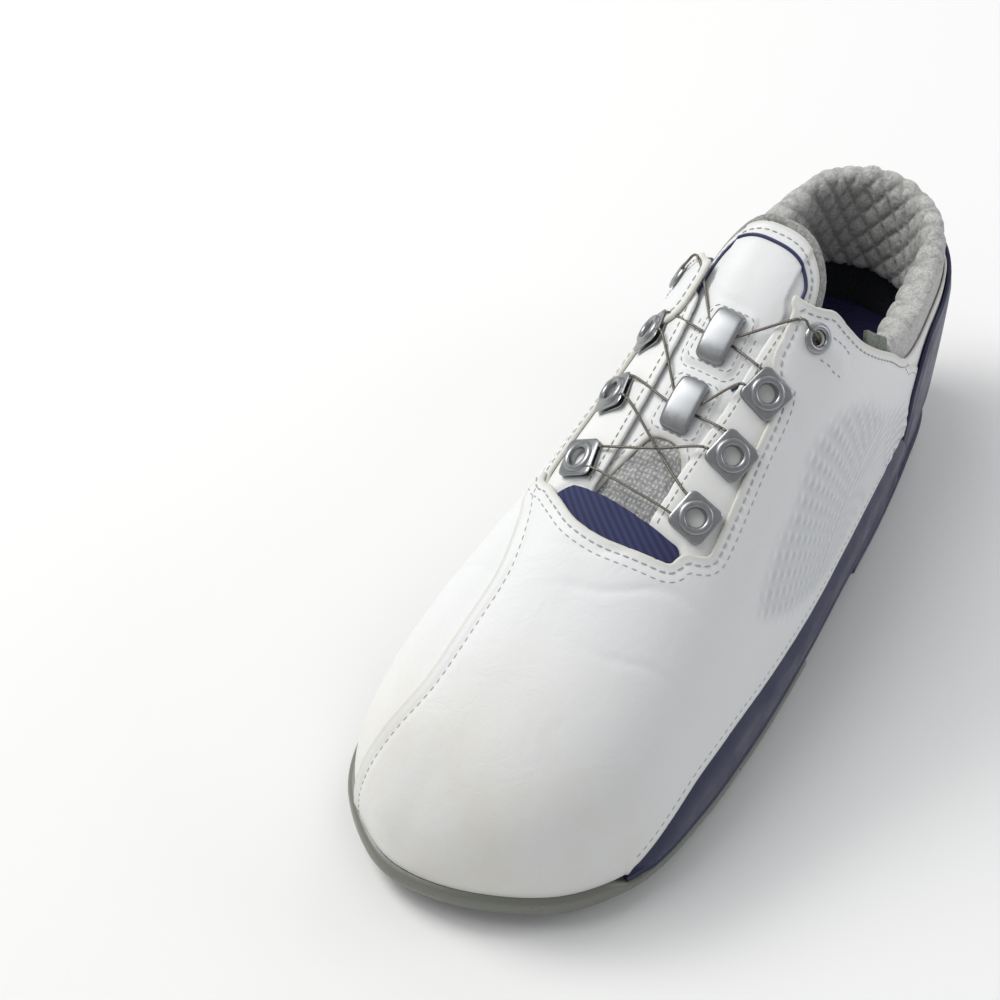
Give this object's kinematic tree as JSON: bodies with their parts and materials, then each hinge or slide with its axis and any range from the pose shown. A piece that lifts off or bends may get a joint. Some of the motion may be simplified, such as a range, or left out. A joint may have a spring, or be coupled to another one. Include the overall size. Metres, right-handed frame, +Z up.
{
  "type": "golf shoe",
  "caption": "Left golf shoe with a leather upper, cable lace wound by a heel dial, padded collar and a cleated two-part sole.",
  "frame": {"origin": "on the ground under the middle of the shoe's bounding box", "axes": "+Y from toe to heel, +X to the outer side of a left shoe, +Z up from the cleat tips"},
  "size_m": [0.112, 0.3162, 0.1431],
  "materials": {
    "white_leather": "smooth coated leather with a fine grain",
    "coated_strip": "coated fabric strip, matt",
    "navy_tpu": "moulded polyurethane, satin",
    "translucent_tpu": "moulded translucent polyurethane, grey",
    "grey_rubber": "moulded rubber, matt",
    "fibre_board": "pressed fibre board",
    "grey_textile": "quilted knit with foam",
    "charcoal_textile": "brushed knit lining",
    "navy_textile": "knit over foam",
    "elastic": "woven elastic",
    "foam": "closed-cell foam",
    "spring_steel": "rolled strip",
    "steel_wire": "stranded wire, nylon coated",
    "satin_metal": "satin plated die casting"
  },
  "bodies": {
    "root": {"cleat_1": "translucent_tpu", "cleat_2": "translucent_tpu", "cleat_3": "translucent_tpu", "cleat_4": "translucent_tpu", "cleat_5": "translucent_tpu", "cleat_6": "translucent_tpu", "cleat_7": "translucent_tpu", "collar_pad": "grey_textile", "dial_housing": "navy_tpu", "dial_screw": "steel_wire", "forefoot_outsole": "translucent_tpu", "heel_guard": "navy_tpu", "heel_leather": "white_leather", "heel_lining": "charcoal_textile", "heel_outsole": "navy_tpu", "heel_stiffener": "fibre_board", "insole_board": "fibre_board", "lace_cable": "steel_wire", "lateral_eyelet": "satin_metal", "lateral_eyestay": "coated_strip", "lateral_goring": "elastic", "lateral_guide_1": "satin_metal", "lateral_guide_2": "satin_metal", "lateral_guide_3": "satin_metal", "lateral_lace_tube": "translucent_tpu", "lateral_upper": "white_leather", "medial_eyelet": "satin_metal", "medial_eyestay": "coated_strip", "medial_goring": "elastic", "medial_guide_1": "satin_metal", "medial_guide_2": "satin_metal", "medial_guide_3": "satin_metal", "medial_lace_tube": "translucent_tpu", "medial_upper": "white_leather", "midsole": "foam", "receptacle_1": "grey_rubber", "receptacle_2": "grey_rubber", "receptacle_3": "grey_rubber", "receptacle_4": "grey_rubber", "receptacle_5": "grey_rubber", "receptacle_6": "grey_rubber", "receptacle_7": "grey_rubber", "shank": "spring_steel", "sockliner": "navy_textile", "sole_frame": "navy_tpu", "throat_label": "navy_tpu", "toe_puff": "fibre_board", "vamp_lining": "grey_textile"},
    "tongue": {"tongue_leather": "white_leather", "tongue_mesh": "grey_textile", "tongue_foam": "grey_textile", "upper_tongue_guide": "satin_metal", "lower_tongue_guide": "satin_metal"},
    "spool": {"dial_spool": "translucent_tpu"},
    "knob": {"dial_knob": "grey_rubber", "dial_face": "navy_tpu", "dial_pawl": "translucent_tpu"}
  },
  "joints": [
    {"name": "tongue_tilt", "type": "hinge", "parent": "root", "child": "tongue", "pos_m": [0, -0.0671, 0.082], "axis": [1, 0, 0], "range_deg": [-14, 0], "deforming": ["lace_cable"]},
    {"name": "dial_turn", "type": "hinge", "parent": "root", "child": "spool", "pos_m": [-0.004, 0.1449, 0.064], "axis": [0, 1, 0], "continuous": true},
    {"name": "dial_pull", "type": "slide", "parent": "spool", "child": "knob", "axis": [0, 1, 0], "range_m": [0, 0.0025]}
  ]
}
